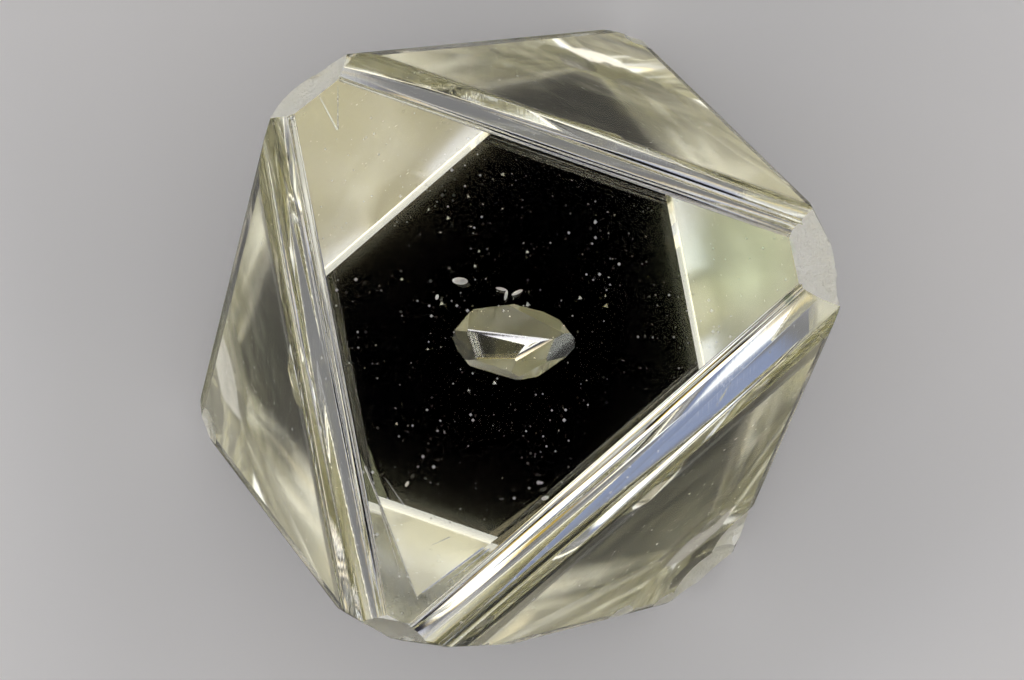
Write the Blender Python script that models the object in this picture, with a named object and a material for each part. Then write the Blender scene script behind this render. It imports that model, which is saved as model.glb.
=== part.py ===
"""A rough diamond: one flattened octahedron with a small clear crystal sealed inside.

The stone lies on its back octahedral face. Its origin is on that face, under the middle of the
stone, and +Z points out of the front face. Lengths are in metres and angles in degrees. The
diamond is parted level through the middle of the pocket that holds the inclusion.
"""

import math
import random
from typing import NamedTuple

import bmesh
import bpy
from mathutils import Matrix, Vector

MM = 0.001
UM = 0.000001

# Where the crystal's own axis stands, seen from the middle of the stone's box.
AXIS_PLACE = Vector((0.047 * MM, 0.018 * MM, 0.0))

# The octahedron, lying on a face. Its perfect side faces lean 19.47 degrees from the upright;
# growth has made the lower ones lean a little more.
THICKNESS = 2.75 * MM
SIDE_LEAN = 19.47
BEVEL_TILT = 35.26


class FrontEdge(NamedTuple):
    """One rounded edge of the front face."""

    azimuth: float
    inradius: float
    width: float


class BackEdge(NamedTuple):
    """One edge of the back face, with a narrow bevel, and the lean of the side face above it."""

    azimuth: float
    inradius: float
    width: float
    lean: float


class SideEdge(NamedTuple):
    """One edge between an upper and a lower side face, worn round to a radius."""

    upper: str
    lower: str
    rounding: float


class Facet(NamedTuple):
    """One flat face of a crystal: where it faces, its tilt from straight up, its distance."""

    azimuth: float
    tilt: float
    distance: float


class CornerFlat(NamedTuple):
    """One flat where a corner is worn off, through the level line at radius and height."""

    azimuth: float
    tilt: float
    radius: float
    height: float


class Ledge(NamedTuple):
    """One growth step along a front edge."""

    edge: str
    across: float
    depth: float
    yaw: float
    start: float
    end: float


class Chip(NamedTuple):
    """One shell-shaped break: the azimuth and height of its middle, its radius and its bite."""

    azimuth: float
    height: float
    radius: float
    bite: float


FRONT_EDGES = {
    "top": FrontEdge(70.9, 1.144 * MM, 0.255 * MM),
    "left": FrontEdge(190.9, 1.162 * MM, 0.320 * MM),
    "low": FrontEdge(310.9, 0.982 * MM, 0.393 * MM),
}
STRIP_TILTS = (23.5, 31.5, 35.5, 36.8, 40.0)

BACK_EDGES = {
    "upper left": BackEdge(130.9, 1.108 * MM, 0.040 * MM, 21.3),
    "right": BackEdge(10.9, 1.149 * MM, 0.034 * MM, 20.6),
    "bottom": BackEdge(250.9, 1.364 * MM, 0.047 * MM, 19.2),
}

SIDE_EDGES = (
    SideEdge("top", "upper left", 0.30 * MM),
    SideEdge("top", "right", 0.20 * MM),
    SideEdge("low", "right", 0.24 * MM),
    SideEdge("low", "bottom", 0.20 * MM),
    SideEdge("left", "bottom", 0.32 * MM),
    SideEdge("left", "upper left", 0.47 * MM),
)
SIDE_EDGE_TURNS = (0.2, 0.5, 0.8)

# The six corners, each worn or broken off: a sloping flat and upright ones.
CORNER_FLATS = (
    CornerFlat(128.0, 50.0, 2.000 * MM, 2.75 * MM),
    CornerFlat(119.0, 36.0, 2.020 * MM, 2.75 * MM),
    CornerFlat(138.0, 38.0, 2.050 * MM, 2.75 * MM),
    CornerFlat(123.0, 87.0, 2.120 * MM, 2.55 * MM),
    CornerFlat(139.0, 87.0, 2.160 * MM, 2.55 * MM),
    CornerFlat(12.0, 38.0, 1.860 * MM, 2.75 * MM),
    CornerFlat(2.5, 30.0, 1.900 * MM, 2.75 * MM),
    CornerFlat(22.0, 33.0, 1.900 * MM, 2.75 * MM),
    CornerFlat(7.0, 56.0, 2.030 * MM, 2.75 * MM),
    CornerFlat(18.0, 60.0, 2.040 * MM, 2.75 * MM),
    CornerFlat(10.5, 85.0, 2.170 * MM, 2.44 * MM),
    CornerFlat(27.0, 86.0, 2.095 * MM, 2.40 * MM),
    CornerFlat(250.0, 52.0, 2.050 * MM, 2.75 * MM),
    CornerFlat(241.0, 36.0, 2.030 * MM, 2.75 * MM),
    CornerFlat(260.0, 34.0, 2.010 * MM, 2.75 * MM),
    CornerFlat(239.5, 86.0, 2.175 * MM, 2.50 * MM),
    CornerFlat(262.0, 86.0, 2.130 * MM, 2.50 * MM),
    CornerFlat(273.0, 87.0, 2.070 * MM, 2.40 * MM),
    CornerFlat(76.0, 97.0, 2.165 * MM, 0.40 * MM),
    CornerFlat(62.0, 95.0, 2.185 * MM, 0.40 * MM),
    CornerFlat(71.0, 136.0, 2.040 * MM, 0.00 * MM),
    CornerFlat(191.0, 97.0, 2.265 * MM, 0.40 * MM),
    CornerFlat(204.0, 95.0, 2.260 * MM, 0.50 * MM),
    CornerFlat(193.0, 138.0, 2.120 * MM, 0.00 * MM),
    CornerFlat(313.0, 97.0, 2.190 * MM, 0.50 * MM),
    CornerFlat(299.0, 94.0, 2.180 * MM, 0.60 * MM),
    CornerFlat(308.0, 134.0, 2.030 * MM, 0.00 * MM),
)

# Growth steps on the front edges: how far across the strip, and how deep they are cut.
LEDGES = (
    Ledge("top", 0.10, 9 * UM, 0.25, -1.9 * MM, 1.6 * MM),
    Ledge("top", 0.52, 12 * UM, -0.7, -1.9 * MM, 1.1 * MM),
    Ledge("left", 0.09, 10 * UM, -0.3, -1.6 * MM, 1.9 * MM),
    Ledge("left", 0.36, 12 * UM, 0.8, -1.9 * MM, 0.9 * MM),
    Ledge("left", 0.70, 13 * UM, -0.5, -1.9 * MM, 1.9 * MM),
    Ledge("low", 0.06, 10 * UM, 0.2, -1.9 * MM, 1.9 * MM),
    Ledge("low", 0.24, 13 * UM, -0.8, -1.2 * MM, 1.9 * MM),
    Ledge("low", 0.48, 15 * UM, 0.9, -1.9 * MM, 0.5 * MM),
    Ledge("low", 0.78, 13 * UM, -0.4, -1.9 * MM, 1.9 * MM),
)

# Breaks that can be told apart; the small wear along the edges is scattered by rule.
CHIPS = (
    Chip(127.0, 2.62 * MM, 0.20 * MM, 0.026 * MM),
    Chip(137.5, 2.30 * MM, 0.16 * MM, 0.022 * MM),
    Chip(6.0, 2.38 * MM, 0.24 * MM, 0.040 * MM),
    Chip(14.8, 2.40 * MM, 0.18 * MM, 0.034 * MM),
    Chip(20.5, 2.10 * MM, 0.18 * MM, 0.030 * MM),
    Chip(245.0, 2.38 * MM, 0.22 * MM, 0.038 * MM),
    Chip(256.5, 2.30 * MM, 0.20 * MM, 0.035 * MM),
    Chip(81.0, 0.36 * MM, 0.16 * MM, 0.030 * MM),
    Chip(66.0, 0.46 * MM, 0.22 * MM, 0.035 * MM),
    Chip(197.0, 0.56 * MM, 0.24 * MM, 0.035 * MM),
    Chip(318.0, 0.60 * MM, 0.40 * MM, 0.055 * MM),
    Chip(308.0, 0.46 * MM, 0.44 * MM, 0.080 * MM),
    Chip(299.5, 0.56 * MM, 0.42 * MM, 0.065 * MM),
    Chip(291.0, 0.90 * MM, 0.28 * MM, 0.040 * MM),
    Chip(228.8, 1.70 * MM, 0.15 * MM, 0.026 * MM),
    Chip(273.3, 1.70 * MM, 0.13 * MM, 0.024 * MM),
)

EDGE_WEAR_COUNT = 22
EDGE_WEAR_RADIUS = (0.040 * MM, 0.080 * MM)
EDGE_WEAR_BITE = 0.26
EDGE_WEAR_SEED = 11
# Where along an edge a nick may fall, and how far from the others, the parting and the floor.
EDGE_WEAR_SPAN = (0.08, 0.92)
EDGE_WEAR_SPACING = 0.24 * MM
OFF_PARTING = 1.5
OFF_FLOOR = 2.0
SHELL_STRETCH = (0.8, 1.2)
SHELL_UNEVENNESS = (0.94, 1.06)
CHIP_ROUNDS = 2
NICK_ROUNDS = 1
SHARP_EDGE_ANGLE = 14.0
LONG_EDGE = 0.5 * MM

# Three-sided etch pits. They point the other way round from the face that they are in.
FRONT_PITS = 40
SIDE_PITS = 9
BACK_PITS = 7
PIT_SIDE = (0.035 * MM, 0.085 * MM)
PIT_DEPTH = 0.22
PIT_SPACING = 0.13 * MM
PIT_FIELD = (1.8 * MM, 2.6 * MM)
PIT_MARGIN = 2.2
PIT_OFF_PARTING = 2.0
PIT_SEED = 5

# The inclusion, its facets measured from its own middle.
INCLUSION_PLACE = Vector((-0.034 * MM, -0.095 * MM, 1.40 * MM))
INCLUSION_FACETS = {
    "broad upper face": Facet(85.0, 34.4, 0.104 * MM),
    "upper right strip": Facet(70.1, 63.6, 0.184 * MM),
    "left tip": Facet(151.9, 42.5, 0.256 * MM),
    "wide lower face": Facet(224.6, 17.1, 0.113 * MM),
    "middle face": Facet(300.0, 27.1, 0.137 * MM),
    "right face": Facet(315.0, 40.0, 0.186 * MM),
    "small lower face": Facet(289.6, 41.2, 0.151 * MM),
    "lower right face": Facet(295.7, 59.3, 0.191 * MM),
    "lower band": Facet(251.8, 65.8, 0.179 * MM),
    "left lower face": Facet(212.1, 35.4, 0.181 * MM),
    "narrow lower face": Facet(249.6, 32.7, 0.132 * MM),
    "rim, far left": Facet(180.0, 90.0, 0.422 * MM),
    "rim, upper left": Facet(144.8, 90.0, 0.400 * MM),
    "rim, top": Facet(96.7, 90.0, 0.248 * MM),
    "rim, top right": Facet(63.4, 90.0, 0.272 * MM),
    "rim, right": Facet(39.5, 90.0, 0.334 * MM),
    "rim, far right": Facet(4.0, 90.0, 0.407 * MM),
    "rim, lower right": Facet(321.7, 90.0, 0.361 * MM),
    "rim, bottom": Facet(280.3, 90.0, 0.242 * MM),
    "rim, lower left": Facet(255.6, 90.0, 0.232 * MM),
    "rim, left": Facet(218.9, 90.0, 0.305 * MM),
    "back, upper": Facet(80.0, 145.0, 0.165 * MM),
    "back, lower": Facet(262.0, 149.0, 0.172 * MM),
    "back, right": Facet(20.0, 129.0, 0.285 * MM),
    "back, left": Facet(198.0, 131.0, 0.290 * MM),
    "back, lower right": Facet(322.0, 121.0, 0.272 * MM),
    "back, upper left": Facet(140.0, 123.0, 0.285 * MM),
    "back flat": Facet(0.0, 180.0, 0.166 * MM),
}
PARTING_HEIGHT = INCLUSION_PLACE.z
GAP = 0.010 * MM

BLANK_SIZE = 9.0 * MM
CUT_CLEARANCE = 0.6 * MM
NEARLY_NOTHING = 1e-10
NEARLY_LEVEL = 0.01
NEARLY_ALIKE = 0.999


def clear_scene():
    for thing in list(bpy.data.objects):
        bpy.data.objects.remove(thing)


def direction(azimuth, tilt):
    """The unit vector that faces azimuth, tilt degrees down from straight up."""
    around = math.radians(azimuth)
    down = math.radians(tilt)
    return Vector((
        math.cos(around) * math.sin(down),
        math.sin(around) * math.sin(down),
        math.cos(down),
    ))


def plane_through(azimuth, tilt, radius, height):
    """The plane facing azimuth and tilt through the level line at radius and height."""
    normal = direction(azimuth, tilt)
    point = direction(azimuth, 90.0) * radius
    point.z = height
    return point, normal


def strip_profile(edge):
    """The (radius, height) corners across a rounded front edge, from the front face outwards."""
    radius, height = edge.inradius, THICKNESS
    corners = [(radius, height)]
    step = edge.width / len(STRIP_TILTS)
    for tilt in STRIP_TILTS:
        radius += step
        height -= step * math.tan(math.radians(tilt))
        corners.append((radius, height))
    return corners


def upper_side_plane(edge):
    """The side face under a rounded front edge."""
    return plane_through(edge.azimuth, 90 - SIDE_LEAN, *strip_profile(edge)[-1])


def lower_side_plane(edge):
    """The side face above a bevelled back edge."""
    rise = edge.width * math.tan(math.radians(BEVEL_TILT))
    return plane_through(edge.azimuth, 90 + edge.lean, edge.inradius + edge.width, rise)


def side_edge_planes(edge):
    """The narrow flats that turn an upper side face into a lower one round the edge's radius."""
    upper_point, upper_normal = upper_side_plane(FRONT_EDGES[edge.upper])
    lower_point, lower_normal = lower_side_plane(BACK_EDGES[edge.lower])
    along = upper_normal.cross(lower_normal).normalized()
    inner_rows = Matrix((upper_normal, lower_normal, along))
    reach = Vector((
        upper_normal.dot(upper_point) - edge.rounding,
        lower_normal.dot(lower_point) - edge.rounding,
        0.0,
    ))
    centre = inner_rows.inverted() @ reach
    whole_turn = upper_normal.angle(lower_normal)
    planes = []
    for share in SIDE_EDGE_TURNS:
        normal = Matrix.Rotation(whole_turn * share, 3, along) @ upper_normal
        planes.append((centre + normal * edge.rounding, normal))
    return planes


def stone_planes():
    """Every flat of the diamond, as (point, normal), before ledges, chips and pits."""
    planes = [
        (Vector((0, 0, THICKNESS)), Vector((0, 0, 1))),
        (Vector((0, 0, 0)), Vector((0, 0, -1))),
    ]
    for edge in FRONT_EDGES.values():
        for tilt, corner in zip(STRIP_TILTS, strip_profile(edge)):
            planes.append(plane_through(edge.azimuth, tilt, *corner))
        planes.append(upper_side_plane(edge))
    for edge in BACK_EDGES.values():
        planes.append(plane_through(edge.azimuth, 180 - BEVEL_TILT, edge.inradius, 0))
        planes.append(lower_side_plane(edge))
    for edge in SIDE_EDGES:
        planes.extend(side_edge_planes(edge))
    for flat in CORNER_FLATS:
        planes.append(plane_through(*flat))
    return planes


def inclusion_planes(grow=0.0):
    """The inclusion's flats, moved outwards by grow for the pocket round it."""
    planes = []
    for facet in INCLUSION_FACETS.values():
        normal = direction(facet.azimuth, facet.tilt)
        planes.append((INCLUSION_PLACE + normal * (facet.distance + grow), normal))
    return planes


def cut_from_block(planes):
    """A mesh of the block that is left when everything outside each plane is cut away."""
    mesh = bmesh.new()
    bmesh.ops.create_cube(mesh, size=BLANK_SIZE)
    for point, normal in planes:
        cut_off(mesh, point, normal)
    bmesh.ops.recalc_face_normals(mesh, faces=mesh.faces)
    return mesh


def cut_off(mesh, point, normal):
    """Cuts away what lies outside one plane and closes the cut."""
    everything = mesh.verts[:] + mesh.edges[:] + mesh.faces[:]
    cut = bmesh.ops.bisect_plane(
        mesh, geom=everything, plane_co=point, plane_no=normal, clear_outer=True, dist=NEARLY_NOTHING
    )
    rim = [part for part in cut["geom_cut"] if isinstance(part, bmesh.types.BMEdge)]
    if rim:
        bmesh.ops.contextual_create(mesh, geom=rim)


def add_box(mesh, frame, low, high):
    """A box between two corners given in frame."""
    middle = (low + high) / 2
    size = high - low
    place = frame @ Matrix.Translation(middle) @ Matrix.Diagonal((*size, 1.0))
    bmesh.ops.create_cube(mesh, size=1.0, matrix=place)


def ledge_cutters():
    """One bar for each growth step: what it takes off leaves a level tread and an upright riser."""
    mesh = bmesh.new()
    for ledge in LEDGES:
        edge = FRONT_EDGES[ledge.edge]
        corners = strip_profile(edge)
        place = ledge.across * len(STRIP_TILTS)
        first = int(place)
        share = place - first
        radius = corners[first][0] * (1 - share) + corners[first + 1][0] * share
        height = corners[first][1] * (1 - share) + corners[first + 1][1] * share
        tilt = math.radians(STRIP_TILTS[first])
        radius -= ledge.depth * math.sin(tilt)
        height -= ledge.depth * math.cos(tilt)
        turn = Matrix.Rotation(math.radians(edge.azimuth), 4, "Z")
        yaw = Matrix.Rotation(math.radians(ledge.yaw), 4, "Z")
        frame = turn @ Matrix.Translation((radius, 0, height)) @ yaw
        low = Vector((0, ledge.start, 0))
        high = Vector((CUT_CLEARANCE, ledge.end, CUT_CLEARANCE))
        add_box(mesh, frame, low, high)
    return mesh


def add_shell(mesh, middle, radius, seed, rounds):
    """A slightly uneven low ball, whose side leaves a shell-shaped hollow where it cuts."""
    draw = random.Random(seed)
    ball = bmesh.ops.create_icosphere(mesh, subdivisions=rounds, radius=radius)
    stretch = Matrix.Diagonal([draw.uniform(*SHELL_STRETCH) for _ in range(3)])
    turn = Matrix.Rotation(draw.uniform(0, math.tau), 3, "Z") @ Matrix.Rotation(draw.uniform(0, 3), 3, "X")
    for vertex in ball["verts"]:
        vertex.co = middle + turn @ (stretch @ (vertex.co * draw.uniform(*SHELL_UNEVENNESS)))


def surface_radius(planes, azimuth, height):
    """How far the stone reaches from its axis, at an azimuth and a height."""
    outward = direction(azimuth, 90)
    start = Vector((0, 0, height))
    reach = []
    for point, normal in planes:
        along = normal.dot(outward)
        if along > NEARLY_LEVEL:
            reach.append(normal.dot(point - start) / along)
    return min(reach)


def chip_cutters(planes):
    """The named breaks, each its own low ball."""
    balls = []
    for number, chip in enumerate(CHIPS):
        mesh = bmesh.new()
        radius = surface_radius(planes, chip.azimuth, chip.height)
        middle = direction(chip.azimuth, 90) * (radius + chip.radius - chip.bite)
        middle.z = chip.height
        add_shell(mesh, middle, chip.radius, number, CHIP_ROUNDS)
        balls.append(mesh)
    return balls


def worn_edges(stone):
    """The stone's long sharp edges, as pairs of ends with the direction out of the stone."""
    edges = []
    for edge in stone.edges:
        angle = math.degrees(edge.calc_face_angle(0.0))
        if angle > SHARP_EDGE_ANGLE and edge.calc_length() > LONG_EDGE:
            outward = (edge.link_faces[0].normal + edge.link_faces[1].normal).normalized()
            ends = [vertex.co.copy() for vertex in edge.verts]
            edges.append((*ends, outward))
    return edges


def edge_wear_cutters(stone):
    """Small nicks scattered along the long sharp edges, none near the parting or each other."""
    draw = random.Random(EDGE_WEAR_SEED)
    edges = worn_edges(stone)
    mesh = bmesh.new()
    middles = []
    while len(middles) < EDGE_WEAR_COUNT:
        first, last, outward = draw.choice(edges)
        radius = draw.uniform(*EDGE_WEAR_RADIUS)
        spot = first.lerp(last, draw.uniform(*EDGE_WEAR_SPAN))
        middle = spot + outward * radius * (1 - EDGE_WEAR_BITE)
        apart = all((middle - other).length > EDGE_WEAR_SPACING for other in middles)
        off_parting = abs(middle.z - PARTING_HEIGHT) > OFF_PARTING * radius
        off_floor = middle.z > OFF_FLOOR * radius
        if apart and off_parting and off_floor:
            add_shell(mesh, middle, radius, len(middles), NICK_ROUNDS)
            middles.append(middle)
    return mesh


def face_frame(point, normal):
    """A frame lying in a face: Z out of it, and X level."""
    level = Vector((0, 0, 1)).cross(normal)
    if level.length < NEARLY_LEVEL:
        level = Vector((1, 0, 0))
    level.normalize()
    up = normal.cross(level)
    frame = Matrix((level, up, normal)).transposed().to_4x4()
    frame.translation = point
    return frame


def add_pit(mesh, frame, u, v, side, heading):
    """A three-sided point, upside down, that leaves a pit of this side in the face."""
    depth = side * PIT_DEPTH
    lift = depth
    corner_radius = side / math.sqrt(3)
    top_radius = corner_radius * (depth + lift) / depth
    ring = []
    for number in range(3):
        angle = math.radians(heading + 120 * number)
        corner = Vector((u + top_radius * math.cos(angle), v + top_radius * math.sin(angle), lift))
        ring.append(mesh.verts.new(frame @ corner))
    tip = mesh.verts.new(frame @ Vector((u, v, -depth)))
    mesh.faces.new(ring)
    for number in range(3):
        mesh.faces.new((ring[(number + 1) % 3], ring[number], tip))


def inside_face(planes, point, own, margin):
    """Whether a point of one face is at least margin inside every other flat."""
    for place, normal in planes:
        if normal.dot(own) > NEARLY_ALIKE:
            continue
        if normal.dot(place - point) < margin:
            return False
    return True


def pit_cutters(planes):
    """Etch pits scattered over the front face, the six side faces and the back face."""
    draw = random.Random(PIT_SEED)
    mesh = bmesh.new()
    faces = [(planes[0], FRONT_PITS, 70.9), (planes[1], BACK_PITS, 10.9)]
    for edge in FRONT_EDGES.values():
        faces.append((upper_side_plane(edge), SIDE_PITS, 90))
    for edge in BACK_EDGES.values():
        faces.append((lower_side_plane(edge), SIDE_PITS, 90))
    middles = []
    for (point, normal), count, heading in faces:
        frame = face_frame(point, normal)
        made = 0
        while made < count:
            u, v = (draw.uniform(-half, half) for half in PIT_FIELD)
            side = PIT_SIDE[0] + (PIT_SIDE[1] - PIT_SIDE[0]) * draw.random() ** 2
            middle = frame @ Vector((u, v, 0))
            apart = all((middle - other).length > PIT_SPACING for other in middles)
            level = abs(normal.z) > NEARLY_ALIKE
            off_parting = level or abs(middle.z - PARTING_HEIGHT) > PIT_OFF_PARTING * side
            if apart and off_parting and inside_face(planes, middle, normal, PIT_MARGIN * side):
                add_pit(mesh, frame, u, v, side, heading)
                middles.append(middle)
                made += 1
    return mesh


def to_object(name, mesh, axis):
    """An object that holds this mesh, placed by the stone's axis."""
    data = bpy.data.meshes.new(name)
    mesh.to_mesh(data)
    mesh.free()
    thing = bpy.data.objects.new(name, data)
    thing.parent = axis
    bpy.context.scene.collection.objects.link(thing)
    return thing


def to_cutter(name, mesh, axis):
    thing = to_object(name, mesh, axis)
    thing.hide_render = True
    thing.display_type = "WIRE"
    return thing


def cut_with(thing, cutter):
    """A live difference of one cutter."""
    cut = thing.modifiers.new(cutter.name, "BOOLEAN")
    cut.operation = "DIFFERENCE"
    cut.solver = "EXACT"
    cut.object = cutter


def clear_material(name, color, ior, roughness):
    """A see-through material with a plain colour."""
    material = bpy.data.materials.new(name)
    material.use_nodes = True
    shader = material.node_tree.nodes["Principled BSDF"]
    shader.inputs["Base Color"].default_value = (*color, 1.0)
    shader.inputs["Metallic"].default_value = 0.0
    shader.inputs["Roughness"].default_value = roughness
    shader.inputs["IOR"].default_value = ior
    shader.inputs["Transmission Weight"].default_value = 1.0
    return material


def build_diamond(axis):
    """The two halves of the diamond, parted level through the pocket."""
    planes = stone_planes()
    whole = cut_from_block(planes)
    cutters = [
        to_cutter("cutter_ledges", ledge_cutters(), axis),
        to_cutter("cutter_edge_wear", edge_wear_cutters(whole), axis),
        to_cutter("cutter_pits", pit_cutters(planes), axis),
        to_cutter("cutter_pocket", cut_from_block(inclusion_planes(GAP)), axis),
    ]
    for number, mesh in enumerate(chip_cutters(planes)):
        cutters.append(to_cutter(f"cutter_chip_{number + 1:02d}", mesh, axis))
    whole.free()
    halves = (
        ("diamond_upper_half", PARTING_HEIGHT + GAP / 2, -1),
        ("diamond_lower_half", PARTING_HEIGHT - GAP / 2, 1),
    )
    for name, height, side in halves:
        parting = (Vector((0, 0, height)), Vector((0, 0, side)))
        half = to_object(name, cut_from_block(planes + [parting]), axis)
        for cutter in cutters:
            cut_with(half, cutter)
        half.data.materials.append(clear_material(name, (0.94, 0.93, 0.84), 2.417, 0.01))


def build_inclusion(axis):
    """The small crystal in the pocket."""
    crystal = to_object("inclusion", cut_from_block(inclusion_planes()), axis)
    crystal.data.materials.append(clear_material("inclusion", (0.90, 0.92, 0.80), 1.66, 0.02))


def main():
    clear_scene()
    axis = bpy.data.objects.new("stone_axis", None)
    axis.location = AXIS_PLACE
    bpy.context.scene.collection.objects.link(axis)
    build_diamond(axis)
    build_inclusion(axis)


main()
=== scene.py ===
"""A rough diamond in its finishes: one clear, flattened octahedron with a small crystal sealed inside.

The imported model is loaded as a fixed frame. The stone is cut again here, round the same flats, with
rounder edges, finer growth steps, chips, nicks and etch pits, and one closed pocket for the inclusion.
Pieces are worked in millimetres round the crystal's own axis, and brought to the frame when done.
"""

import logging
import math
import random
from contextlib import contextmanager
from dataclasses import dataclass
from enum import Enum
from typing import Iterator, Sequence

import bpy
from mathutils import Euler, Matrix, Vector


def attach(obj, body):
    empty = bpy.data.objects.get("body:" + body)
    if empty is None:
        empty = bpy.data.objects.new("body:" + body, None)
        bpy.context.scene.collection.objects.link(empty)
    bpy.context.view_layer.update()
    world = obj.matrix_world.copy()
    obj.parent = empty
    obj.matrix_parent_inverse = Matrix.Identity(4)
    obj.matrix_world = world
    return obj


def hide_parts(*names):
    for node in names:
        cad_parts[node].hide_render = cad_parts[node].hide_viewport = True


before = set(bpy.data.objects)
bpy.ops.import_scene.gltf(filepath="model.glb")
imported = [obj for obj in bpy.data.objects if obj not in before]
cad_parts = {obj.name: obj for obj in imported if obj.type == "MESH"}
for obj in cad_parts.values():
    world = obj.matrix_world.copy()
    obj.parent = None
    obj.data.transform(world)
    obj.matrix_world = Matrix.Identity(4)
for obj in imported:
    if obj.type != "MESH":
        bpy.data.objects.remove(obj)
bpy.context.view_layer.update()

LOG = logging.getLogger("rough_diamond")

Piece = bpy.types.Object
Socket = bpy.types.NodeSocket
Color = tuple[float, float, float]
Span = tuple[float, float]
Place = tuple[float, float]
Bands = tuple[tuple[float, Color], ...]

MM = 0.001
BODY = "root"
UP = Vector((0.0, 0.0, 1.0))
DOWN = Vector((0.0, 0.0, -1.0))
WHITE: Color = (1.0, 1.0, 1.0)

# Where the crystal's own axis stands in the frame, and its thickness, in millimetres.
AXIS_PLACE = Vector((0.047, 0.018, 0.0))
THICKNESS = 2.75

# The azimuths of the edges, in turn round the stone: an edge of the back face, one of the front, and so on.
FIRST_EDGE = 10.9
RIGHT, TOP, UPPER_LEFT, LEFT, BOTTOM, LOW = (FIRST_EDGE + 60.0 * step for step in range(6))

# Degrees that an octahedron's side leans out of upright, and that a bevel of its edge leans from a face.
SIDE_LEAN = 19.47
BEVEL_TILT = 35.26

# The height of the direction that a lens straight above mirrors to in an upper side face, in degrees.
MIRROR_HEIGHT = 2 * SIDE_LEAN - 90.0

BLANK_SIZE = 9.0
CUT_TOLERANCE = 1e-6

# A face lies in a flat where it is this near to it, and where the cosine between them is over this.
SAME_PLANE = 2e-4
SAME_FACING = 0.99999

# The least sine of a lean that counts as one, and the most that a hollow is turned, in radians.
LEAST_LEAN = 0.01
RANDOM_TURN = 3.0

DIAMOND_IOR = 2.417
INCLUSION_IOR = 1.66

# The colour sockets of a Mix node.
MIX_BASE = 6
MIX_ADDED = 7
MIX_RESULT = 2


class Finish(Enum):
    """The finishes of the clear stone; each is one of its material slots."""

    FRONT = "front_face"
    BACK = "back_face"
    TOP_EDGE = "top_rounded_edge"
    LEFT_EDGE = "left_rounded_edge"
    LOW_EDGE = "low_rounded_edge"
    UPPER_SIDE = "upper_side_faces"
    LOWER_SIDE = "lower_side_faces"
    WORN = "worn_flats"
    BROKEN = "broken_faces"
    PIT = "etch_pits"
    POCKET = "pocket_wall"

    def slot(self) -> int:
        """Gives the number of the finish's material slot."""
        return list(Finish).index(self)


class Relief(Enum):
    """What the low relief of a finish looks like."""

    POLISHED = "polished"
    STRIATED = "striated"
    CLOUDY = "cloudy"
    BROKEN = "broken"


class Slot(Enum):
    """The record's material slots."""

    DIAMOND = "diamond"
    INCLUSION = "inclusion"


@dataclass(frozen=True)
class Flat:
    """One flat of a crystal: a plane through a point, facing along a normal."""

    point: Vector
    normal: Vector
    finish: Finish


@dataclass(frozen=True)
class FrontEdge:
    """One rounded edge of the front face, and the finish that it takes."""

    azimuth: float
    inradius: float
    width: float
    finish: Finish


@dataclass(frozen=True)
class BackEdge:
    """One edge of the back face, with a narrow bevel, and the lean of the side face above it."""

    azimuth: float
    inradius: float
    width: float
    lean: float


@dataclass(frozen=True)
class SideEdge:
    """One edge between an upper and a lower side face, worn round to a radius."""

    upper: str
    lower: str
    rounding: float


@dataclass(frozen=True)
class LevelFlat:
    """A flat through the level line at a radius and a height."""

    azimuth: float
    tilt: float
    radius: float
    height: float
    finish: Finish = Finish.WORN

    def plane(self) -> Flat:
        """Finds the flat's plane.

        Returns:
            The plane, with the flat's finish.
        """
        point = direction(self.azimuth, 90.0) * self.radius
        point.z = self.height
        return Flat(point, direction(self.azimuth, self.tilt), self.finish)


@dataclass(frozen=True)
class Ledge:
    """One growth step along a front edge: how far across the edge, how deep, and from where to where."""

    edge: str
    across: float
    depth: float
    yaw: float
    start: float = -1.9
    end: float = 1.9


@dataclass(frozen=True)
class Chip:
    """One shell-shaped break: where on the stone, the radius of its hollow and how deep it bites."""

    azimuth: float
    height: float
    radius: float
    bite: float


@dataclass(frozen=True)
class Mark:
    """One small hollow mark on the front face: its place, its two half-lengths, depth and turn."""

    x: float
    y: float
    long: float
    short: float
    depth: float
    turn: float


@dataclass(frozen=True)
class Groove:
    """One fine line in the front face: a shallow groove between two points, tapering between two depths."""

    start: Place
    end: Place
    depths: Span


@dataclass(frozen=True)
class StripLine:
    """One growth line along a rounded edge, from one place across it to another."""

    edge: str
    across: Span
    along: Span
    depths: Span


@dataclass(frozen=True)
class Facet:
    """One flat of the inclusion: where it faces and its distance from the middle."""

    azimuth: float
    tilt: float
    distance: float


def direction(azimuth: float, tilt: float) -> Vector:
    """Points along an azimuth, tilted down from straight up.

    Args:
        azimuth: Degrees round from +X.
        tilt: Degrees down from +Z.

    Returns:
        The unit vector.
    """
    around = math.radians(azimuth)
    down = math.radians(tilt)
    return Vector((
        math.cos(around) * math.sin(down),
        math.sin(around) * math.sin(down),
        math.cos(down),
    ))


def low_draw(draw: random.Random, span: Span, rarity: int) -> float:
    """Draws a size that is mostly near the low end of its range.

    Args:
        draw: The source of random numbers.
        span: The range.
        rarity: How rare the great sizes are.

    Returns:
        The size.
    """
    low, high = span
    return low + (high - low) * draw.random() ** rarity


def random_shape(draw: random.Random, stretch: Span) -> dict[str, object]:
    """Draws the turn and the stretch of one irregular hollow.

    Args:
        draw: The source of random numbers.
        stretch: The range of the stretch along each axis.

    Returns:
        The rotation and the scale, as an operator's settings.
    """
    turn = Euler([draw.uniform(0.0, RANDOM_TURN) for _ in range(3)])
    return {"rotation": turn, "scale": [draw.uniform(*stretch) for _ in range(3)]}


def deselect_all() -> None:
    """Leaves nothing selected and no object active."""
    bpy.ops.object.select_all(action="DESELECT")
    bpy.context.view_layer.objects.active = None


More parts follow.
